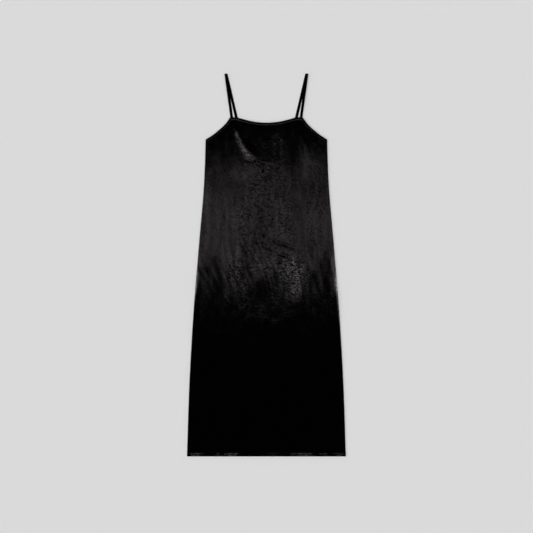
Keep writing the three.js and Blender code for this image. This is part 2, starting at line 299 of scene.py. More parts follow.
class SLIPDRESS_PG_cloth(bpy.types.PropertyGroup):
    """Sizes and colours of the satin."""

    satin: colour_setting("Satin", "Colour of the satin's threads", "#010101")
    satin_worn: colour_setting(
        "Crinkled satin", "Colour where the crinkle opens the weave", "#020202",
    )
    roughness: number_setting(
        "Roughness", "How widely the satin spreads its highlight", 0.05, 1, 0.14, subtype="FACTOR",
    )
    thickness: length_setting(
        "Cloth thickness", "Thickness of the front's shell", 0.0003, 0.001, 0.0006,
    )
    crinkle: length_setting(
        "Crinkle depth", "Depth of the hammered crinkle in the front's surface", 0, 0.001, 0.00009,
    )


class SLIPDRESS_PG_trim(bpy.types.PropertyGroup):
    """Sizes and colours of the bindings, straps and stitches."""

    bias_satin: colour_setting("Bias satin", "Colour of the bindings and straps", "#040404")
    thread: colour_setting("Thread", "Colour of the sewing thread", "#0a090a")
    stitch: length_setting("Stitch length", "Length of one stitch", 0.001, 0.006, 0.0026)
    thread_width: length_setting(
        "Thread width", "Width of the sewing thread", 0.0001, 0.001, 0.0004,
    )


class SLIPDRESS_PG_stage(bpy.types.PropertyGroup):
    """The ground, the lights and the camera."""

    ground: colour_setting("Ground", "Colour of the card under the dress", "#f2f2f2")
    frame_width: length_setting("View width", "Width of the picture at the ground", 1, 4, 1.8122)
    lens: number_setting(
        "Focal length", "Focal length of the camera in millimetres", 20, 200, 50, unit="CAMERA",
    )
    softbox_height: length_setting(
        "Softbox height", "Height of the softbox over the ground", 0.3, 4, 1.3,
    )
    softbox: number_setting(
        "Softbox radiance", "Brightness of the softbox that the satin mirrors", 0, 20, 0.45,
    )
    room: number_setting("Room light", "Brightness of the pale room round the ground", 0, 10, 1.4)
    overhead: number_setting(
        "Overhead light", "Strength of the wide light that falls straight on the ground",
        0, 10, 0.824,
    )
    from_left: number_setting(
        "Light from the left", "Strength of the low light that shades the right edge", 0, 10, 0.877,
    )


# Outline of the cut

def smooth(rows, at):
    """Cubic through a table's (place, value) rows, level beyond its ends.

    Each row's slope is the one between its two neighbours.
    """
    places, values = np.array(rows, float).T
    slopes = np.gradient(values, places)
    slopes[1:-1] = (values[2:] - values[:-2]) / (places[2:] - places[:-2])
    at = np.clip(at, places[0], places[-1])
    i = np.clip(np.searchsorted(places, at, side="right") - 1, 0, len(places) - 2)
    span = places[i + 1] - places[i]
    t = (at - places[i]) / span
    rise = values[i + 1] - values[i]
    start, end = slopes[i] * span, slopes[i + 1] * span
    square, cube = 3 * rise - 2 * start - end, start + end - 2 * rise
    return values[i] + t * (start + t * (square + t * cube))


def half_width(height):
    """Half width of the body at a height."""
    return smooth(SIDE, height)


def top_edge(top, neck_steps, armhole_steps):
    """Points of a top edge from the left underarm to the right one, and its corners' places.

    The neckline rises from its middle as a power of the distance, and the armhole is a smooth
    curve through its table.
    """
    neck_x = np.linspace(0, top["corner"], neck_steps + 1)
    away = np.minimum(neck_x / top["flat_from"], 1)
    neck = np.stack([neck_x, top["low"] + (top["high"] - top["low"]) * away ** top["curve"]], 1)
    arm_x = np.linspace(top["corner"], UNDERARM[0], armhole_steps + 1)[1:]
    half = np.concatenate([neck, np.stack([arm_x, smooth(top["armhole"], arm_x)], 1)])
    points = np.concatenate([half[:0:-1] * (-1, 1), half])
    return points, armhole_steps, armhole_steps + 2 * neck_steps


def inset(points, distance):
    """The edge moved into the cloth by a distance: each point along the mitre of its two sides.

    The ends slide straight down the sides.
    """
    along = np.diff(points, axis=0)
    normal = np.stack([along[:, 1], -along[:, 0]], 1) / np.linalg.norm(along, axis=1)[:, None]
    before, after = normal[:-1], normal[1:]
    mitre = (before + after) / (1 + (before * after).sum(1))[:, None]
    first = np.array([[0, 1 / normal[0, 1]]])
    last = np.array([[0, 1 / normal[-1, 1]]])
    return points + distance * np.concatenate([first, mitre, last])


# Folds, creases and crinkle of the cloth

def bell(distance):
    """A soft bump: one at nothing, and nothing from one outwards, as half a cosine wave."""
    return np.where(distance < 1, (1 + np.cos(np.pi * np.minimum(distance, 1))) / 2, 0)


def step(value):
    """Smooth step from nothing at nothing to one at one."""
    t = np.clip(value, 0, 1)
    return t * t * (3 - 2 * t)


def away_from(x, height, at_x, at_height, reach_x, reach_height):
    """Distance from a place, counted in its reach: one on an ellipse about it."""
    return np.hypot((x - at_x) / reach_x, (height - at_height) / reach_height)


def rolled(distance, radius):
    """Drop of a round edge: a quarter circle, from one at the edge to nothing at its radius."""
    return 1 - np.sqrt(1 - np.clip(1 - distance / radius, 0, 1) ** 2)


def angles(count):
    """Angles evenly round a circle, from nothing."""
    return np.linspace(0, 2 * np.pi, count + 1)[:-1]


def squared(wave, power):
    """A wave with its sign kept and its size raised to a power, which squares up a circle."""
    return np.sign(wave) * np.abs(wave) ** power


def ridge(x, height, start, bend, end, width, rise, steps=16):
    """Height of a soft ridge along a line bent as a parabola through three control places.

    It is a bell across the line, times the root of half a sine wave along it.
    """
    t = np.linspace(0, 1, steps + 1)[:, None]
    start, bend, end = (np.array(place, float) for place in (start, bend, end))
    line = (1 - t) ** 2 * start + 2 * t * (1 - t) * bend + t**2 * end
    best, along = np.full(x.shape, np.inf), np.zeros(x.shape)
    for i in range(steps):
        (ax, ay), (bx, by) = line[i], line[i + 1]
        reach = (x - ax) * (bx - ax) + (height - ay) * (by - ay)
        reach = np.clip(reach / ((bx - ax) ** 2 + (by - ay) ** 2), 0, 1)
        off = np.hypot(x - ax - reach * (bx - ax), height - ay - reach * (by - ay))
        along = np.where(off < best, (i + reach) / steps, along)
        best = np.minimum(best, off)
    return rise * bell(best / width) * np.sqrt(np.sin(np.pi * along).clip(0))


def crumple(x, height, shortest, longest, waves, seed):
    """An uneven crinkle: plane waves of many lengths and headings, each as high as it is long.

    The places are bent first by two slow waves, so that no wave's crests run straight.
    """
    rng = np.random.default_rng(seed)
    bent_x = x + 0.35 * longest * np.sin(height / (0.9 * longest) + 1.3)
    bent_h = height + 0.35 * longest * np.sin(x / (0.8 * longest) + 0.4)
    total = np.zeros(x.shape)
    for _ in range(waves):
        length = np.exp(rng.uniform(np.log(shortest), np.log(longest)))
        heading, phase = rng.uniform(0, np.pi), rng.uniform(0, 2 * np.pi)
        across = bent_x * np.cos(heading) + bent_h * np.sin(heading)
        total += length / longest * np.sin(2 * np.pi * across / length + phase)
    return total / np.sqrt(waves)


def gloss(x, height):
    """How glossy the satin is at a place, as a share of its usual gloss."""
    share = np.ones(x.shape)
    for *patch, gain in GLOSS_PATCHES:
        share = share * (1 + gain * bell(away_from(x, height, *patch)))
    share = share * (1 + ridge(x, height, *LIT_FLANK, 1.8))
    share = share * (1 + streaks(x, height))
    return share * (1 - HEM_DULL * bell(np.abs(height - HEM_CREST) / 14))


def streaks(x, height):
    """Streaks where the skirt stops mirroring the softbox: a crinkle drawn out along the warp.

    They slant towards the middle on the left, and are strongest in a bell about STREAK_AT.
    """
    at_height, reach = STREAK_AT
    slanted = x + 0.32 * step((60 - x) / 120) * (height - at_height)
    strength = 0.15 + 0.85 * bell(np.abs(height - at_height) / reach)
    return (strength * crumple(slanted, height * 0.16, 8, 26, 30, 8)).clip(-0.75, 1.1)


def crinkle_strength(x, height):
    """How strongly the satin is crinkled at a place, from nothing to one."""
    strength = np.full(x.shape, CRINKLE_FLOOR)
    for *patch, value in CRINKLE_PATCHES:
        share = np.clip(1.6 * bell(away_from(x, height, *patch) / 1.3), 0, 1)
        strength = np.maximum(strength, value * share)
    strength = np.maximum(strength, ridge(x, height, *LIT_FLANK, 1.8))
    return strength + 0.5 * hem_rolls(x, height).clip(0)


def drape_table():
    """Height of the skirt's drape on a grid of 3 mm: the sum, downwards, of the skirt's slope.

    Above a dropped edge the slope grows as an unfolded skirt would need to keep mirroring the
    softbox, and ends below it; above a raised edge it is turned the other way.
    """
    grid_x, grid_height = np.arange(-273, 274, 3.0), np.arange(0, 1164, 3.0)
    x, height = np.meshgrid(grid_x, grid_height)
    edge = SHEEN_EDGE - smooth(FALLS, x)
    lit = step((height - edge) / (2 * FALL_SOFT) + 0.5)
    lean = (SHEEN_EDGE - height) * FALL_LEAN
    slope = np.maximum(lean + FALL_MARGIN, 0) * lit - np.maximum(FALL_MARGIN - lean, 0) * (1 - lit)
    rise = np.cumsum(slope[::-1], axis=0)[::-1] * 3.0
    rise = rise + np.maximum(-rise[0], 0) * step((1000 - grid_height[:, None]) / 260)
    kernel = np.array([1, 2, 3, 2, 1]) / 9
    wide = np.pad(rise, ((0, 0), (2, 2)), mode="edge")
    rise = sum(share * wide[:, i : i + len(grid_x)] for i, share in enumerate(kernel))
    edge_fade = step((half_width(height) - np.abs(x)) / 40)
    return grid_x, grid_height, rise * step(grid_height[:, None] / 420) * edge_fade


def drape(x, height):
    """Height of the skirt's drape at a place, between the table's four nearest entries."""
    grid_x, grid_height, rise = DRAPE
    column = np.clip((x - grid_x[0]) / 3.0, 0, len(grid_x) - 1.001)
    row = np.clip(height / 3.0, 0, len(grid_height) - 1.001)
    i, j = row.astype(int), column.astype(int)
    up, right = row - i, column - j
    low = rise[i, j] * (1 - right) + rise[i, j + 1] * right
    high = rise[i + 1, j] * (1 - right) + rise[i + 1, j + 1] * right
    return low * (1 - up) + high * up


DRAPE = drape_table()


def chest_drag(x, height):
    """Height of the soft drags on the chest, too gentle for the shell and given to its bump.

    Their slope is a bell across CLIMB_ZONE, times the climb at x.
    """
    low, high = CLIMB_ZONE
    t = np.clip((height - low) / (high - low), 0, 1)
    up = t - np.sin(2 * np.pi * t) / (2 * np.pi)
    return smooth(CLIMBS, x) * FALL_LEAN * (high - low) * up * 0.55


def front_surface(x, height, crinkle_depth):
    """Height of the front's upper side over the ground."""
    edge = half_width(height) - np.abs(x)
    rise = sum(ridge(x, height, *row) for row in FOLDS + CREASES)
    rise = rise + drape(x, height)
    rise = rise + crinkle_depth * crinkle_strength(x, height) * crumple(x, height, 9, 30, 48, 5)
    rise = rise + 0.35 * crumple(x, height * 0.12, 26, 70, 20, 11)
    rise = rise * np.clip(edge / 18, 0, 1) * np.clip(height / 30, 0, 1)
    rise = np.maximum(rise, DEEPEST_TROUGH) + side_rolls(x, height)
    hem = 0.45 * (1 - np.clip((height - HEM_DEPTH) / 1.6, 0, 1)) + hem_rolls(x, height)
    level = FRONT_TOP_LEVEL + rise + hem
    roll = rolled(edge, 3.2)
    return level - 1.25 * roll - 0.6 * rolled(height, 1.4) * (1 - roll)


def side_rolls(x, height):
    """Height of the rolls by the side seams: steep towards the edge, gentle towards the middle."""
    edge = half_width(height) - np.abs(x)
    outer = step(edge / SIDE_ROLL_CREST)
    inner = step((SIDE_ROLL_WIDTH - edge) / (SIDE_ROLL_WIDTH - SIDE_ROLL_CREST))
    total = np.zeros(x.shape)
    for side, low, high, rise, skew in SIDE_ROLLS:
        t = np.clip((height - low) / (high - low), 0, 1) ** skew
        total += np.where(x * side > 0, rise * np.sin(np.pi * t) ** 2, 0)
    return total * outer * inner


def hem_rolls(x, height):
    """Height of the hem's rolls: a bell up the hem, times short puckers along each stretch."""
    total = np.zeros(x.shape)
    below, above = (HEM_CREST - height) / HEM_CREST, (height - HEM_CREST) / 4.0
    up = bell(np.where(height < HEM_CREST, below, above))
    for from_x, to_x, rise in HEM_ROLLS:
        t = np.clip((x - from_x) / (to_x - from_x), 0, 1)
        pucker = 0.66 + 0.34 * np.sin(x / 2.4 + 1.6 * np.sin(x / 13) + 5 * rise)
        total += rise * up * np.sin(np.pi * t) ** 0.6 * pucker
    wander = 0.22 * np.sin(x / 11.5 + 2.0 * np.sin(x / 61)) + 0.12 * np.sin(x / 4.3)
    return total + np.maximum(wander, -0.1) * up


# Meshes

def put(name, data, location=(0, 0, 0)):
    """Puts a mesh, light or camera into the scene as an object."""
    thing = bpy.data.objects.new(name, data)
    thing.location = location
    bpy.context.scene.collection.objects.link(thing)
    return thing


def placed(x, height, z):
    """Places in millimetres as points in metres in the frame's axes."""
    x, height, z = np.broadcast_arrays(x, height, z)
    return np.stack([x, height - LENGTH / 2, z], -1) * MM


def shell(top, bottom):
    """Closed shell between two grids of points: both sides, and a strip of quads round the rim."""
    rows, columns = top.shape[:2]
    index = np.arange(rows * columns).reshape(rows, columns)
    quads = np.stack([index[:-1, :-1], index[:-1, 1:], index[1:, 1:], index[1:, :-1]], -1)
    quads = quads.reshape(-1, 4)
    loop = np.concatenate([index[0, :-1], index[:-1, -1], index[-1, :0:-1], index[:0:-1, 0]])
    after = np.roll(loop, -1)
    below = rows * columns
    rim = np.stack([loop, loop + below, after + below, after], -1)
    faces = np.concatenate([quads, quads[:, ::-1] + below, rim])
    return np.concatenate([top.reshape(-1, 3), bottom.reshape(-1, 3)]), faces


def tube(sections, hollow=None):
    """Closed tube through sections of equal counts of points, given as an array of loops.

    With a second, inner array of loops it is a hollow tube, whose ends are rims; otherwise each
    end is closed by a fan about its middle.
    """
    count = sections.shape[1]
    index = np.arange(sections.shape[0] * count).reshape(sections.shape[:2])
    ahead = np.roll(index, -1, axis=1)
    sides = np.stack([index[:-1], index[1:], ahead[1:], ahead[:-1]], -1).reshape(-1, 4)
    points = sections.reshape(-1, 3)
    total = len(points)
    if hollow is None:
        middles = sections[[0, -1]].mean(1)
        start = np.stack([np.full(count, total), index[0], ahead[0]], -1)
        end = np.stack([np.full(count, total + 1), ahead[-1], index[-1]], -1)
        faces = sides.tolist() + start.tolist() + end.tolist()
        return np.concatenate([points, middles]), faces
    inner = sides[:, ::-1] + total
    start = np.stack([index[0], ahead[0], ahead[0] + total, index[0] + total], -1)
    end = np.stack([index[-1], index[-1] + total, ahead[-1] + total, ahead[-1]], -1)
    faces = np.concatenate([sides, inner, start, end])
    return np.concatenate([points, hollow.reshape(-1, 3)]), faces


def make_piece(name, points, faces, material, nodes, uv=None, fields=None):
    """Writes one mesh with its material, map and fields, which rides on the dress in place of
    its solids."""
    old = bpy.data.objects.get(name)
    if old is not None:
        bpy.data.objects.remove(old, do_unlink=True)
    mesh = bpy.data.meshes.new(name)
    mesh.from_pydata(points, [], faces if isinstance(faces, list) else faces.tolist())
    mesh.polygons.foreach_set("use_smooth", np.ones(len(mesh.polygons), bool))
    if uv is not None:
        corners = np.empty(len(mesh.loops), int)
        mesh.loops.foreach_get("vertex_index", corners)
        layer = mesh.uv_layers.new(name="Cloth")
        layer.data.foreach_set("uv", uv[corners].astype(np.float32).ravel())
    for field, values in (fields or {}).items():
        attribute = mesh.attributes.new(field, "FLOAT", "POINT")
        attribute.data.foreach_set("value", values.astype(np.float32).ravel())
    mesh.materials.append(material)
    mesh.update()
    piece = put(name, mesh)
    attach(piece, "root")
    if nodes:
        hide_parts(*nodes)
    return piece


# Materials

def feed(tree, node, inputs):
    """Sets a node's sockets to values, or links them to the sockets that feed them."""
    for name, value in inputs.items():
        if isinstance(value, bpy.types.NodeSocket):
            tree.links.new(value, node.inputs[name])
        else:
            node.inputs[name].default_value = value


def add(tree, kind, inputs=None, **settings):
    """Adds one node with its settings, and feeds its sockets."""
    node = tree.nodes.new(kind)
    for name, value in settings.items():
        setattr(node, name, value)
    feed(tree, node, inputs or {})
    return node


def object_place(tree):
    """The place on the object, in metres."""
    return add(tree, "ShaderNodeTexCoord").outputs["Object"]


def field(tree, name):
    """The value of one of the mesh's own fields."""
    return add(tree, "ShaderNodeAttribute", attribute_name=name).outputs["Fac"]


def times(tree, first, second):
    """The product of two values."""
    return add(tree, "ShaderNodeMath", {0: first, 1: second}, operation="MULTIPLY").outputs["Value"]


def carried(tree, value, source, target, kind="LINEAR"):
    """A value carried from one range onto another, and held at its ends."""
    return add(tree, "ShaderNodeMapRange", {
        "Value": value, "From Min": source[0], "From Max": source[1],
        "To Min": target[0], "To Max": target[1],
    }, interpolation_type=kind).outputs["Result"]


def stretched(tree, place, sizes):
    """A place in metres, counted in grains of the given sizes in millimetres."""
    return add(tree, "ShaderNodeMapping", {
        "Vector": place, "Scale": (per_mm(sizes[0]), per_mm(sizes[1]), 1.0),
    }).outputs["Vector"]


def turned(tree, place, degrees):
    """A place turned about the upright axis."""
    return add(tree, "ShaderNodeMapping", {
        "Vector": place, "Rotation": (0, 0, math.radians(degrees)),
    }).outputs["Vector"]


def noise(tree, place, scale, detail, distortion=0.0):
    """Soft uneven noise with about one grain to each unit over the scale."""
    return add(tree, "ShaderNodeTexNoise", {
        "Vector": place, "Scale": scale, "Detail": detail, "Distortion": distortion,
    }).outputs["Fac"]


def bump(tree, height, distance, strength=1.0, under=None):
    """Normal leant by a height in metres, on top of the bump that lies under it."""
    inputs = {"Height": height, "Distance": distance, "Strength": strength}
    if under is not None:
        inputs["Normal"] = under
    return add(tree, "ShaderNodeBump", inputs).outputs["Normal"]


def mixed(tree, share, first, second):
    """A colour between two colours."""
    return add(tree, "ShaderNodeMix", {
        "Factor": share, "A": (*first, 1), "B": (*second, 1),
    }, data_type="RGBA").outputs[2]


def lessened(tree, level):
    """Gloss that falls away at grazing angles, where a woven face shades itself."""
    facing = add(tree, "ShaderNodeLayerWeight", {"Blend": 0.5}).outputs["Facing"]
    return times(tree, level, carried(tree, facing, (0.1, 0.74), (1.0, 0.0001), "SMOOTHSTEP"))


def new_material(name):
    """An empty material, and its tree with the shader and output in place."""
    material = bpy.data.materials.get(name) or bpy.data.materials.new(name)
    material.use_nodes = True
    tree = material.node_tree
    tree.nodes.clear()
    shader = add(tree, "ShaderNodeBsdfPrincipled")
    add(tree, "ShaderNodeOutputMaterial", {"Surface": shader.outputs["BSDF"]})
    return material, tree, shader


def per_mm(size):
    """Scale of a pattern on coordinates in metres whose grains are about size millimetres."""
    return 1 / (size * MM)


def hammered_satin():
    """Polyester satin, hammered and steamed: floats of warp give a smooth dark gloss, and the
    dents break it into short grains of light and dark."""
    cloth = bpy.context.scene.slip_dress_cloth
    material, tree, shader = new_material("hammered satin")
    place = object_place(tree)
    clumps = carried(tree, noise(tree, place, per_mm(CLUMPS), 1.0), (0.38, 0.62), (0.65, 1.35))
    strength = times(tree, field(tree, "crinkle"), clumps)
    slanted = add(tree, "ShaderNodeMapping", {
        "Vector": place, "Rotation": (0, 0, math.radians(GRAIN_SLANT)),
        "Scale": tuple(size * MM for size in GRAIN),
    }, vector_type="TEXTURE").outputs["Vector"]
    dents = noise(tree, slanted, 1.0, 2.0, distortion=0.5)
    drags = noise(tree, stretched(tree, place, DRAGS), 1.0, 3.0)
    # Real floats are 0.1 mm wide and too fine to show, so they are drawn ten times as wide
    floats = noise(tree, stretched(tree, place, FLOATS), 1.0, 1.0)
    woven = bump(tree, floats, 0.00001, 0.5)
    leaning = bump(tree, field(tree, "drag"), 1.0, under=woven)
    streaked = bump(tree, drags, 0.0006, 0.5, under=leaning)
    hammered = bump(tree, dents, 0.0015, strength, under=streaked)
    # Dents are pressed glossier than the ridges between them, more so where the crinkle is strong
    pressed = carried(tree, dents, (0.405, 0.612), (2.65, -0.1))
    dented = carried(tree, strength, (0.0, 1.0), (1.0, pressed))
    level = times(tree, dented, carried(tree, drags, (0.3, 0.7), (0.33, 0.67)))
    spread = (cloth.roughness + 0.03, cloth.roughness - 0.03)
    feed(tree, shader, {
        "Normal": hammered,
        "Specular IOR Level": lessened(tree, times(tree, level, field(tree, "gloss"))),
        "Roughness": carried(tree, dents, (0.35, 0.7), spread),
        "Base Color": mixed(tree, drags, cloth.satin, cloth.satin_worn),
    })
    return material


def bias_satin():
    """The same satin cut on the bias and pressed into narrow tubes: its gloss follows the tube,
    and fine diagonal ribs and small puckers show along it."""
    trim, cloth = bpy.context.scene.slip_dress_trim, bpy.context.scene.slip_dress_cloth
    material, tree, shader = new_material("bias satin")
    along = add(tree, "ShaderNodeUVMap", uv_map="Cloth").outputs["UV"]
    # The map is in millimetres, so the ribs are 0.3 mm apart and the puckers about 3.6 mm long
    ribs = add(tree, "ShaderNodeTexWave", {
        "Vector": turned(tree, along, 45), "Scale": 1.1, "Distortion": 1.2, "Detail": 1.0,
    }).outputs["Fac"]
    puckers = noise(tree, along, 0.28, 2.0)
    ribbed = bump(tree, ribs, 0.00004)
    worn = carried(tree, puckers, (0.4, 0.7), (0.05, 0.5))
    spread = (cloth.roughness + 0.04, cloth.roughness + 0.14)
    feed(tree, shader, {
        "Normal": bump(tree, puckers, 0.0006, under=ribbed),
        "Specular IOR Level": lessened(tree, times(tree, worn, field(tree, "gloss"))),
        "Roughness": carried(tree, puckers, (0.0, 1.0), spread),
        "Base Color": mixed(tree, puckers, cloth.satin, trim.bias_satin),
    })
    return material


def sewing_thread():
    """Spun polyester thread: two plies twisted together, dull, with a faint slanted twist."""
    material, tree, shader = new_material("spun polyester thread")
    twist = add(tree, "ShaderNodeTexWave", {
        "Vector": turned(tree, object_place(tree), 35), "Scale": per_mm(1.2),
    }).outputs["Fac"]
    thread = bpy.context.scene.slip_dress_trim.thread
    feed(tree, shader, {
        "Normal": bump(tree, twist, 0.00005), "Roughness": 0.6, "Specular IOR Level": 0.08,
        "Base Color": mixed(tree, twist, linear("#060606"), thread),
    })
    return material


def matt_card():
    """Matt card of the studio table: even and without gloss, with a barely seen tooth."""
    material, tree, shader = new_material("matt card")
    tooth = noise(tree, object_place(tree), per_mm(1.5), 2.0)
    feed(tree, shader, {
        "Normal": bump(tree, tooth, 0.00002), "Roughness": 1.0, "Specular IOR Level": 0.0,
        "Base Color": (*bpy.context.scene.slip_dress_stage.ground, 1),
    })
    return material


# Panels

def graded(end, coarse, fine):
    """Places from 0 to end, stepped by coarse, with the first few drawn close as in fine."""
    count = max(int(round((end - fine[-1]) / coarse)), 1)
    return np.concatenate([[0.0], fine, np.linspace(fine[-1], end, count + 1)[1:]])


YOKE = 1040.0  # height over which a panel's rows turn to follow its top edge
HEM_ROWS = [0.35, 0.9, 1.7, 2.8, 4.2, 5.6, 7.0, 8.4, 9.6, 10.5, 11.3, 12.4]


def panel_plan(top, neck_steps, armhole_steps, row_step, yoke_rows, edge_steps):
    """Rows of (x, height) over a panel: columns spread with the side from their places at the top.

    The columns by the side seams and the rows by the hem are drawn close, to carry their rolls.
    """
    edge = inset(top_edge(top, neck_steps, armhole_steps)[0], BINDING_WIDTH + BINDING_GAP)
    right = edge[len(edge) // 2 :]
    last, side_x = right[-2], UNDERARM[0]
    close = np.array([side_x - step for step in edge_steps[::-1] if step < side_x - last[0]])
    close = np.stack([close, np.interp(close, right[:, 0], right[:, 1])], 1)
    right = np.concatenate([right[:-1], close, right[-1:]])
    tops = np.concatenate([right[:0:-1] * (-1, 1), right])
    lower = graded(YOKE, row_step, HEM_ROWS)[:, None]
    share = np.linspace(0, 1, yoke_rows + 1)[1:, None]
    upper = YOKE + share * (tops[:, 1] - YOKE)
    heights = np.concatenate([np.repeat(lower, len(tops), 1), upper])
    return tops[:, 0] / side_x * half_width(heights), heights


def both_sides(**fields):
    """Fields of the satin for every point of a shell: the upper side's values, then again below."""
    return {name: np.tile(values.ravel(), 2) for name, values in fields.items()}


def cut_area(top):
    """Flat area of a panel in square metres: the width summed up the side, then the yoke's."""
    heights = np.linspace(0, UNDERARM[1], 400)
    body = np.trapz(2 * half_width(heights), heights)
    edge = top_edge(top, 40, 40)[0]
    yoke = np.trapz(edge[:, 1] - UNDERARM[1], edge[:, 0])
    return (body + yoke) * MM * MM


def declare_cut(top):
    """Works out the flat area of a panel, and keeps nothing of it."""
    cut_area(top)


class SLIPDRESS_OT_front(bpy.types.Operator):
    """Makes the front panel: a thin shell of satin with the dress's folds, creases and crinkle"""

    bl_idname = "slip_dress.front"
    bl_label = "Front panel"

    def execute(self, context):
        """The shell between the front's surface and the same a thickness lower."""
        cloth = context.scene.slip_dress_cloth
        x, height = panel_plan(FRONT_TOP, 34, 22, 3.2, 30, (0.4, 1.0, 1.9, 3.0))
        top = front_surface(x, height, cloth.crinkle / MM)
        bottom = np.maximum(top - cloth.thickness / MM, FRONT_LOWEST)
        points, faces = shell(placed(x, height, top), placed(x, height, bottom))
        fields = both_sides(
            crinkle=crinkle_strength(x, height), drag=chest_drag(x, height) * MM,
            gloss=gloss(x, height),
        )
        front = make_piece(
            "front_satin", points, faces, hammered_satin(), ["front_panel"], fields=fields,
        )
        declare_cut(FRONT_TOP)
        return {"FINISHED"}


class SLIPDRESS_OT_back(bpy.types.Operator):
    """Makes the back panel, flat where it rests, with soft waves on its upper side"""

    bl_idname = "slip_dress.back"
    bl_label = "Back panel"

    def execute(self, context):
        """The shell between gentle waves and a flat underside with round sides."""
        x, height = panel_plan(BACK_TOP, 12, 10, 12.0, 8, (0.5, 1.5, 3.0))
        edge = half_width(height) - np.abs(x)
        wave = 0.1 * crumple(x, height * 0.3, 30, 90, 20, 3) * np.clip(edge / 12, 0, 1)
        turned_hem = 0.15 * (1 - np.clip((height - HEM_DEPTH) / 1.6, 0, 1))
        top = BACK_LEVEL + np.clip(wave, -0.12, 0.12) + turned_hem
        points, faces = shell(placed(x, height, top), placed(x, height, 0.35 * rolled(edge, 2.5)))
        even = np.ones(x.shape)
        fields = both_sides(crinkle=BACK_CRINKLE * even, drag=0 * even, gloss=even)
        back = make_piece(
            "back_satin", points, faces, hammered_satin(), ["back_panel"], fields=fields,
        )
        declare_cut(BACK_TOP)
        return {"FINISHED"}


# Bindings

def binding_outline(top, side):
    """Outer and inner lines of a binding: the whole neckline for side 0, or one side's armhole.

    Each line stops short of its ends by the gap at the seam.
    """
    points, left, right = top_edge(top, *EDGE_STEPS)
    inner = inset(points, BINDING_WIDTH)
    kept = slice(left, right + 1) if side == 0 else slice(right, None)
    lines = []
    for line in (points[kept], inner[kept]):
        line = line.copy()
        for end, near in ((0, 1), (-1, -2)):
            away = line[near] - line[end]
            line[end] += away * min(SEAM_GAP / np.linalg.norm(away), 0.9)
        lines.append(line * ((side or 1), 1))
    return lines


def run_along(line):
    """Length along a line at each of its points."""
    return np.concatenate([[0], np.cumsum(np.linalg.norm(np.diff(line, axis=0), axis=1))])


def unrolled(length, count, width):
    """The cloth's own map of a flat tube: the length along it and the way round it."""
    around = np.arange(count) / count * 2 * width
    return np.stack(np.broadcast_arrays(length[:, None], around[None]), -1).reshape(-1, 2)


def edge_gloss(x):
    """How glossy a binding is at each x: dull, with soft glossier stretches."""
    return EDGE_DULL + sum(value * bell(np.abs(x - at) / reach) for at, reach, value in EDGE_GLOSS)


def make_binding(name, node, top, side, level, depth):
    """One binding: a flattened tube between two lines of the top edge.

    Its section is a rounded box, whose depth swells and pinches in short puckers along it.
    """
    outer, inner = binding_outline(top, side)
    turn = angles(BINDING_POINTS)
    across = 0.5 - 0.5 * squared(np.cos(turn), 0.75)
    up = 0.5 - 0.5 * squared(np.sin(turn), 0.7)
    length = run_along(outer)
    waves = np.sin(length / 2.1 + 1.5 * np.sin(length / 9))
    pucker = 1 + 0.13 * waves * np.sin(length / 31 + 1) ** 2
    plan = outer[:, None] + across[None, :, None] * (inner - outer)[:, None]
    z = level + depth * up[None] * np.where(up > 0.5, pucker[:, None], 1)
    loops = placed(plan[..., 0], plan[..., 1], z)
    if side < 0:
        loops = loops[:, ::-1]
    points, faces = tube(loops)
    uv = unrolled(length, BINDING_POINTS, BINDING_WIDTH)
    uv = np.concatenate([uv, uv[:1], uv[-1:]])
    fields = {"gloss": edge_gloss(points[:, 0] / MM)}
    make_piece(name, points, faces, bias_satin(), [node], uv, fields)


class SLIPDRESS_OT_bindings(bpy.types.Operator):
    """Makes the bindings of the neckline and armholes, front and back"""

    bl_idname = "slip_dress.bindings"
    bl_label = "Bindings"

    def execute(self, context):
        """One tube for each neckline and for each half of an armhole."""
        for where, top, level, depth in (
            ("front", FRONT_TOP, FRONT_LEVEL, BINDING_DEPTH + 0.15),
            ("back", BACK_TOP, 0.0, STRAP_DEPTH - 0.1),
        ):
            make_binding(f"neck_edge_{where}", f"neck_binding_{where}", top, 0, level, depth)
            for side, word in ((1, "right"), (-1, "left")):
                name, node = f"armhole_edge_{where}_{word}", f"armhole_binding_{where}_{word}"
                make_binding(name, node, top, side, level, depth)
        return {"FINISHED"}


# Straps

STRAP_TOP = LENGTH - STRAP_DEPTH - SEAM_GAP / 2  # centre height of the fold
FRONT_STRAND = (137.9, 0.135, 1139.0)  # x at the fold, slope, height of the root
BACK_STRAND = (136.6, 0.2336, BACK_TOP["high"] + SEAM_GAP)
STRAP_POINTS = 20  # points round a strap
RAMP = (1168.0, 1210.0)  # heights between which the front strand climbs over the back one


def strand(top_x, slope, root, level, steps):
    """Centre line of a strand from its root up to the fold: straight in plan, at level(height)."""
    height = np.linspace(root, STRAP_TOP, steps + 1)
    return np.stack([top_x - slope * (STRAP_TOP - height), height, level(height)], 1)


def strap_line():
    """Centre line of a strap: up the front strand, half a circle over the fold, down the back."""
    low = STRAP_DEPTH / 2
    high = low + STRAP_DEPTH + SEAM_GAP

    def climb(height):
        """Level of the front strand: a smooth step up between the heights of the ramp."""
        return low + (high - low) * step((height - RAMP[0]) / (RAMP[1] - RAMP[0]))

    def lie(height):
        """Level of the back strand, which lies on the ground all along."""
        return np.full(height.shape, low)

    front = strand(*FRONT_STRAND, climb, 70)
    back = strand(*BACK_STRAND, lie, 70)[::-1]
    turn = np.linspace(0, np.pi, 13)[1:-1, None]
    fold = front[-1] + (back[0] - front[-1]) * (1 - np.cos(turn)) / 2
    fold[:, 1:2] += np.sin(turn) * (high - low) / 2
    return np.concatenate([front, fold, back])


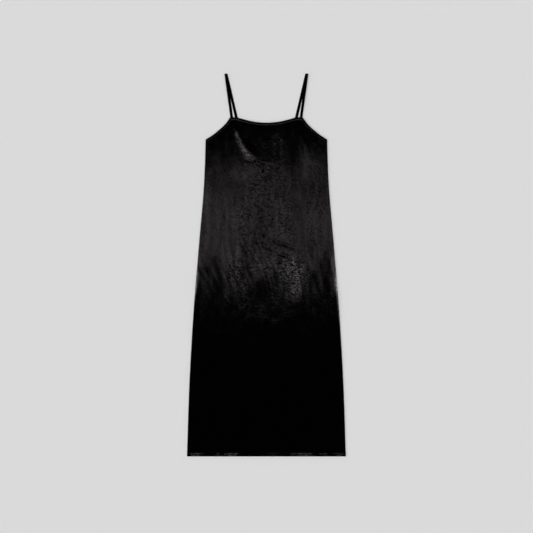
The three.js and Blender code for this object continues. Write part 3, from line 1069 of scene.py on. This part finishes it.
def strap_loops(line, width, depth):
    """Sections along the centre line: rounded boxes, square to the line and level across it.

    The width breathes by two slow waves, and the depth thins a little towards the edges.
    """
    along = np.gradient(line, axis=0)
    across = np.stack([along[:, 1], -along[:, 0], np.zeros(len(line))], 1)
    across *= np.sign(along[:, 1:2] + 1e-12)  # the same way round on both strands
    folded = np.abs(along[:, 2]) > 0.5 * np.linalg.norm(along, axis=1)
    square = folded | (np.arange(len(line)) == 0) | (np.arange(len(line)) == len(line) - 1)
    near_fold = np.abs(line[:, 1] - STRAP_TOP) < 1.0
    across[square | near_fold] = (1, 0, 0)
    across /= np.linalg.norm(across, axis=1)[:, None]
    out = np.cross(across, along)
    out /= np.linalg.norm(out, axis=1)[:, None]
    turn = angles(STRAP_POINTS)
    wide, deep = squared(np.cos(turn), 0.6), squared(np.sin(turn), 0.8)
    breath = 1 + 0.02 * np.sin(line[:, 1] / 13) + 0.015 * np.sin(line[:, 1] / 4.7 + 1)
    size = (width * breath)[:, None, None]
    loops = line[:, None] - wide[None, :, None] * across[:, None] * size / 2
    return loops - deep[None, :, None] * out[:, None] * depth / 2


class SLIPDRESS_OT_straps(bpy.types.Operator):
    """Makes the two straps: hollow tubes of bias satin, pressed flat and folded at the top"""

    bl_idname = "slip_dress.straps"
    bl_label = "Straps"

    def execute(self, context):
        """A tube within a tube along the strap's line, and both again mirrored."""
        line = strap_line()
        skins = []
        for wall in (0, STRAP_WALL):
            loops = strap_loops(line, STRAP_WIDTH - 2 * wall, STRAP_DEPTH - 2 * wall)
            skins.append(placed(*np.moveaxis(loops, -1, 0)))
        length = run_along(line)
        uv = unrolled(length, STRAP_POINTS, STRAP_WIDTH)
        for side, word in ((1, "right"), (-1, "left")):
            pair = [skin * (side, 1, 1) for skin in skins]
            pair = [skin[:, ::-1] for skin in pair] if side < 0 else pair
            points, faces = tube(*pair)
            piece = make_piece(
                f"strap_tube_{word}", points, faces, bias_satin(), [f"strap_{word}"],
                np.tile(uv, (2, 1)), {"gloss": np.full(len(points), EDGE_DULL)},
            )
        return {"FINISHED"}


# Stitching

def stitch_run(line, z, pitch, length, width):
    """A row of stitches along a line: each is a spindle, a long sphere flattened onto the cloth.

    Its radius is half the width times the root of a sine along it.
    """
    run = run_along(line)
    at = np.arange(pitch / 2, run[-1], pitch)
    behind, centre, ahead = (
        np.stack([np.interp(at + off, run, line[:, 0]), np.interp(at + off, run, line[:, 1])], 1)
        for off in (-0.4, 0, 0.4)
    )
    along = (ahead - behind) / np.linalg.norm(ahead - behind, axis=1)[:, None]
    across = np.stack([along[:, 1], -along[:, 0]], 1)
    rings = np.linspace(-1, 1, 6)[1:-1]
    turn = angles(6)
    radius = width / 2 * np.sqrt(1 - rings**2 * 0.9)
    side = (radius[:, None] * np.cos(turn)).ravel()
    lift = (radius[:, None] * np.sin(turn)).ravel()
    forward = np.repeat(rings * length / 2, len(turn))
    plan = centre[:, None] + forward[None, :, None] * along[:, None]
    plan = plan + side[None, :, None] * across[:, None]
    height = np.interp(at, run, z)[:, None] + lift[None]
    tips = centre[:, None] + np.array([-1, 1])[None, :, None] * along[:, None] * length / 2
    tip_height = np.repeat(np.interp(at, run, z)[:, None] - width * 0.3, 2, 1)
    points = np.concatenate([
        np.concatenate([plan, tips], 1), np.concatenate([height, tip_height], 1)[..., None],
    ], 2)
    count = len(turn)
    index = np.arange(len(rings) * count).reshape(len(rings), count)
    next_to = np.roll(index, -1, axis=1)
    quads = np.stack([index[:-1], next_to[:-1], next_to[1:], index[1:]], -1).reshape(-1, 4)
    first, last = index.size, index.size + 1
    start = np.stack([np.full(count, first), next_to[0], index[0]], -1)
    end = np.stack([np.full(count, last), index[-1], next_to[-1]], -1)
    shift = np.arange(len(at)) * (index.size + 2)
    faces = []
    for part in (quads, start, end):
        faces += (part[None] + shift[:, None, None]).reshape(-1, part.shape[1]).tolist()
    return points.reshape(-1, 3), faces


def joined(runs):
    """Joins runs of stitches into one mesh's points and faces."""
    points, faces, total = [], [], 0
    for run_points, run_faces in runs:
        points.append(run_points)
        faces += [[corner + total for corner in face] for face in run_faces]
        total += len(run_points)
    return placed(*np.concatenate(points).T), faces


class SLIPDRESS_OT_stitching(bpy.types.Operator):
    """Makes the stitches along the bindings' inner edges and round the hem"""

    bl_idname = "slip_dress.stitching"
    bl_label = "Stitching"

    def execute(self, context):
        """Spindles along the front's bindings, and along the hem's surface."""
        trim, cloth = context.scene.slip_dress_trim, context.scene.slip_dress_cloth
        length, width = trim.stitch / MM, trim.thread_width / MM
        pitch = length + 0.6
        runs = []
        for side in (0, 1, -1):
            outer, inner = binding_outline(FRONT_TOP, side)
            line = outer + 0.86 * (inner - outer)
            level = np.full(len(line), FRONT_LEVEL + BINDING_DEPTH * 0.93)
            runs.append(stitch_run(line, level, pitch, length, width))
        hem_x = np.linspace(-0.985, 0.985, 500) * half_width(HEM_STITCH)
        hem = np.stack([hem_x, np.full(len(hem_x), HEM_STITCH)], 1)
        level = front_surface(hem_x, hem[:, 1], cloth.crinkle / MM) + 0.02
        runs.append(stitch_run(hem, level, pitch, length, width))
        points, faces = joined(runs)
        make_piece("stitches", points, faces, sewing_thread(), [])
        return {"FINISHED"}


# Stage

def eye_height(stage):
    """Height from which the lens shows the view width on the ground."""
    return stage.frame_width * stage.lens / SENSOR


class SLIPDRESS_OT_stage(bpy.types.Operator):
    """Makes the ground, the room's light, the softbox and the camera"""

    bl_idname = "slip_dress.stage"
    bl_label = "Studio"

    def execute(self, context):
        """The stage, one part after another."""
        self.ground()
        self.room(context)
        self.suns(context)
        self.softboxes(context)
        self.camera(context)
        context.scene.view_settings.view_transform = "Standard"
        return {"FINISHED"}

    def ground(self):
        """A flat sheet of card, just under the dress."""
        half, under = 12.0, -0.0002
        corners = [(x * half, y * half, under) for x, y in ((-1, -1), (1, -1), (1, 1), (-1, 1))]
        mesh = bpy.data.meshes.new("ground")
        mesh.from_pydata(corners, [], [(0, 1, 2, 3)])
        mesh.materials.append(matt_card())
        put("ground", mesh)

    def room(self, context):
        """A pale room, dark right overhead: its light is a ramp on the height of the sky."""
        world = bpy.data.worlds.new("pale room")
        world.use_nodes = True
        tree = world.node_tree
        tree.nodes.clear()
        heading = add(tree, "ShaderNodeTexCoord").outputs["Generated"]
        height = add(tree, "ShaderNodeSeparateXYZ", {"Vector": heading}).outputs["Z"]
        ramp = add(tree, "ShaderNodeValToRGB", {"Fac": height})
        while len(ramp.color_ramp.elements) < len(SKY):
            ramp.color_ramp.elements.new(0.5)
        for element, (at, share) in zip(ramp.color_ramp.elements, SKY):
            element.position = at
            element.color = (share, share, share, 1)
        sky = add(tree, "ShaderNodeBackground", {
            "Color": ramp.outputs["Color"], "Strength": context.scene.slip_dress_stage.room,
        })
        add(tree, "ShaderNodeOutputWorld", {"Surface": sky.outputs["Background"]})
        context.scene.world = world

    def suns(self, context):
        """Two wide, far lights, which light the card but aren't mirrored.

        One falls straight down, and one low from the left, for the soft shade by the right edge.
        """
        stage = context.scene.slip_dress_stage
        for name, energy, lean, wide in (
            ("overhead", stage.overhead, 0, 50), ("from the left", stage.from_left, -70, 20),
        ):
            light = bpy.data.lights.new(name, "SUN")
            light.energy = energy
            light.angle = math.radians(wide)
            lamp = put(name, light, (0, 0, 3))
            lamp.rotation_euler = (0, math.radians(lean), 0)
            lamp.visible_glossy = False

    def softboxes(self, context):
        """Softboxes in a row over the chest, seen only in the satin's gloss.

        They share the edge towards the hem and end one after another towards the straps, so that
        the mirrored light fades out there.
        """
        stage = context.scene.slip_dress_stage
        reach = 1 + stage.softbox_height / eye_height(stage)
        low = (SHEEN_EDGE - LENGTH / 2) * reach
        for number, (high, share) in enumerate(SOFTBOXES):
            light = bpy.data.lights.new(f"softbox {number + 1}", "AREA")
            light.shape = "RECTANGLE"
            light.size = SOFTBOX_WIDTH
            light.size_y = (high * reach - low) * MM
            light.color = linear("#fff3f8")
            light.energy = share * stage.softbox * math.pi * light.size * light.size_y
            middle = (low + high * reach) / 2 * MM
            lamp = put(light.name, light, (0, middle, stage.softbox_height + number * MM))
            lamp.visible_diffuse = False
            lamp.visible_camera = False

    def camera(self, context):
        """Straight above the middle of the picture, which lies just below the dress's middle."""
        stage = context.scene.slip_dress_stage
        camera = bpy.data.cameras.new("camera")
        camera.sensor_width = SENSOR
        camera.lens = stage.lens
        context.scene.camera = put("camera", camera, (*CAMERA_PLACE, eye_height(stage)))


class SLIPDRESS_PT_panel(bpy.types.Panel):
    """Lists the dress's settings and the operators that make it."""

    bl_label = "Slip dress"
    bl_idname = "SLIPDRESS_PT_panel"
    bl_space_type = "VIEW_3D"
    bl_region_type = "UI"
    bl_category = "Slip dress"

    def draw(self, context):
        """The settings, group by group, and then the operators."""
        layout = self.layout
        for group in SETTINGS:
            settings, box = getattr(context.scene, group), layout.box()
            for name in settings.__annotations__:
                box.prop(settings, name)
        for operator in OPERATORS:
            layout.operator(operator.bl_idname)


SETTINGS = {
    "slip_dress_cloth": SLIPDRESS_PG_cloth,
    "slip_dress_trim": SLIPDRESS_PG_trim,
    "slip_dress_stage": SLIPDRESS_PG_stage,
}
OPERATORS = (
    SLIPDRESS_OT_stage,
    SLIPDRESS_OT_bindings,
    SLIPDRESS_OT_stitching,
    SLIPDRESS_OT_back,
    SLIPDRESS_OT_front,
    SLIPDRESS_OT_straps,
)
CLASSES = (*SETTINGS.values(), *OPERATORS, SLIPDRESS_PT_panel)


def register():
    """Registers the classes and gives the scene its groups of settings."""
    for item in CLASSES:
        bpy.utils.register_class(item)
    for name, group in SETTINGS.items():
        setattr(bpy.types.Scene, name, PointerProperty(type=group))


def unregister():
    """Takes the settings and the classes away again."""
    for name in SETTINGS:
        delattr(bpy.types.Scene, name)
    for item in reversed(CLASSES):
        bpy.utils.unregister_class(item)


def main():
    """Makes the whole scene."""
    register()
    bpy.ops.slip_dress.stage()
    bpy.ops.slip_dress.bindings()
    bpy.ops.slip_dress.stitching()
    bpy.ops.slip_dress.back()
    bpy.ops.slip_dress.front()
    bpy.ops.slip_dress.straps()


if __name__ == "__main__":
    main()
